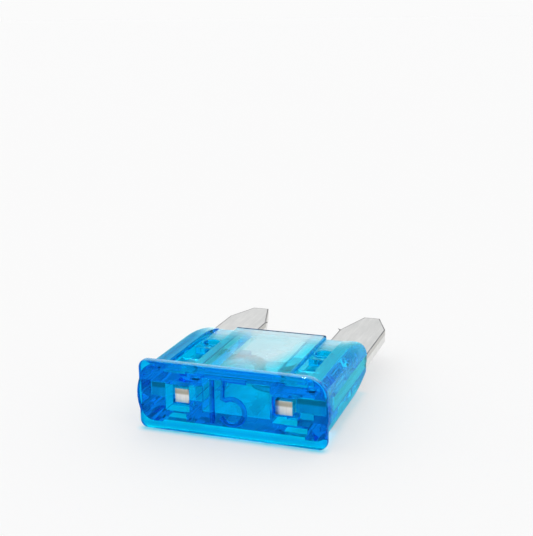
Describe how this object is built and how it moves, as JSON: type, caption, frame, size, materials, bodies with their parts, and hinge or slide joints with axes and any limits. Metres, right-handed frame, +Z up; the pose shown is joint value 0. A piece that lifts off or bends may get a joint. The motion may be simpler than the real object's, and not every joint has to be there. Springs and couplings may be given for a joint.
{
  "type": "automotive blade fuse",
  "caption": "Small translucent blue plug-in fuse: a flanged moulded housing over a stamped metal element with flat chamfered blades and an S-shaped link.",
  "frame": {"origin": "under the middle of the whole fuse, on the surface that it lies on", "axes": "+X across the head, +Y from the head to the blade tips, +Z up through the thickness"},
  "size_m": [0.0108, 0.0164, 0.004],
  "materials": {
    "housing_plastic": "clear blue, glossy",
    "element_zinc": "satin, as stamped"
  },
  "bodies": {
    "root": {"housing": "housing_plastic", "fuse_element": "element_zinc"}
  },
  "joints": []
}
